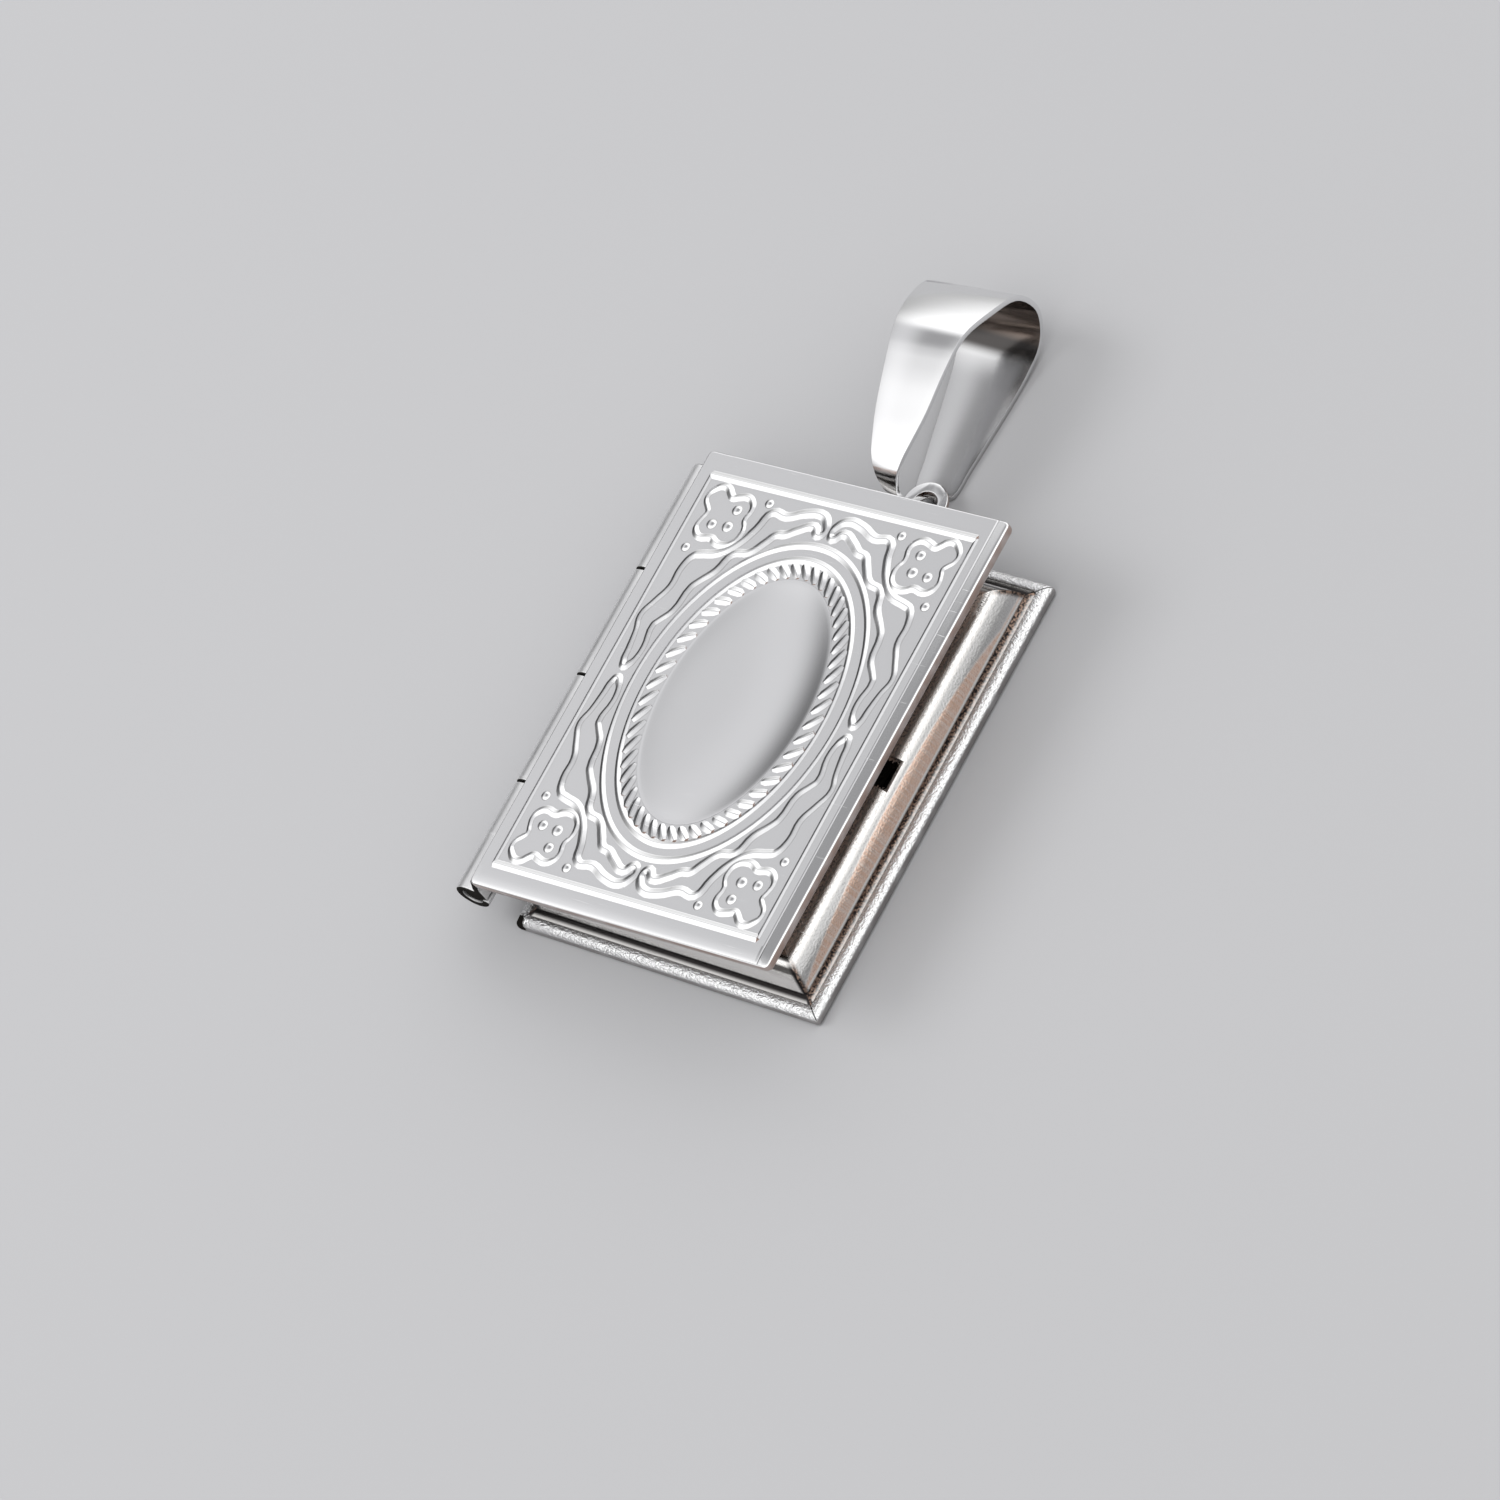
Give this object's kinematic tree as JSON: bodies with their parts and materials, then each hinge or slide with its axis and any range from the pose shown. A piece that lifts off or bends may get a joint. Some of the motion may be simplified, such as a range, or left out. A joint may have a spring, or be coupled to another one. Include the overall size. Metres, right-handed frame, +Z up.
{
  "type": "book locket",
  "caption": "Book-shaped locket pendant with two hinged ornamented covers, inner page frames that hold pictures, and a tapered ribbon bail.",
  "frame": {"origin": "centre of the back cover's flat outer face, which lies on the table", "axes": "+X from the hinge to the fore edge, +Y to the bail, +Z up through the covers"},
  "size_m": [0.0227, 0.0412, 0.0072],
  "materials": {
    "cover_steel": "polished stainless steel with fine scratches",
    "page_steel": "polished stainless steel, drawn upright",
    "pin_steel": "polished stainless steel",
    "bail_steel": "mirror polished stainless steel"
  },
  "bodies": {
    "back": {"back_cover": "cover_steel", "back_pages": "page_steel", "hinge_pin": "pin_steel"},
    "front": {"front_cover": "cover_steel", "front_pages": "page_steel"},
    "bail": {"bail": "bail_steel"}
  },
  "joints": [
    {"name": "lid_hinge", "type": "hinge", "parent": "back", "child": "front", "pos_m": [-0.0117, 0, 0.00264], "axis": [0, -1, 0], "range_deg": [-4, 171]},
    {"name": "bail_swing", "type": "hinge", "parent": "back", "child": "bail", "pos_m": [0.00014, 0.01677, 0.00086], "axis": [0.9968, 0.0802, 0], "range_deg": [-40, 15]}
  ]
}
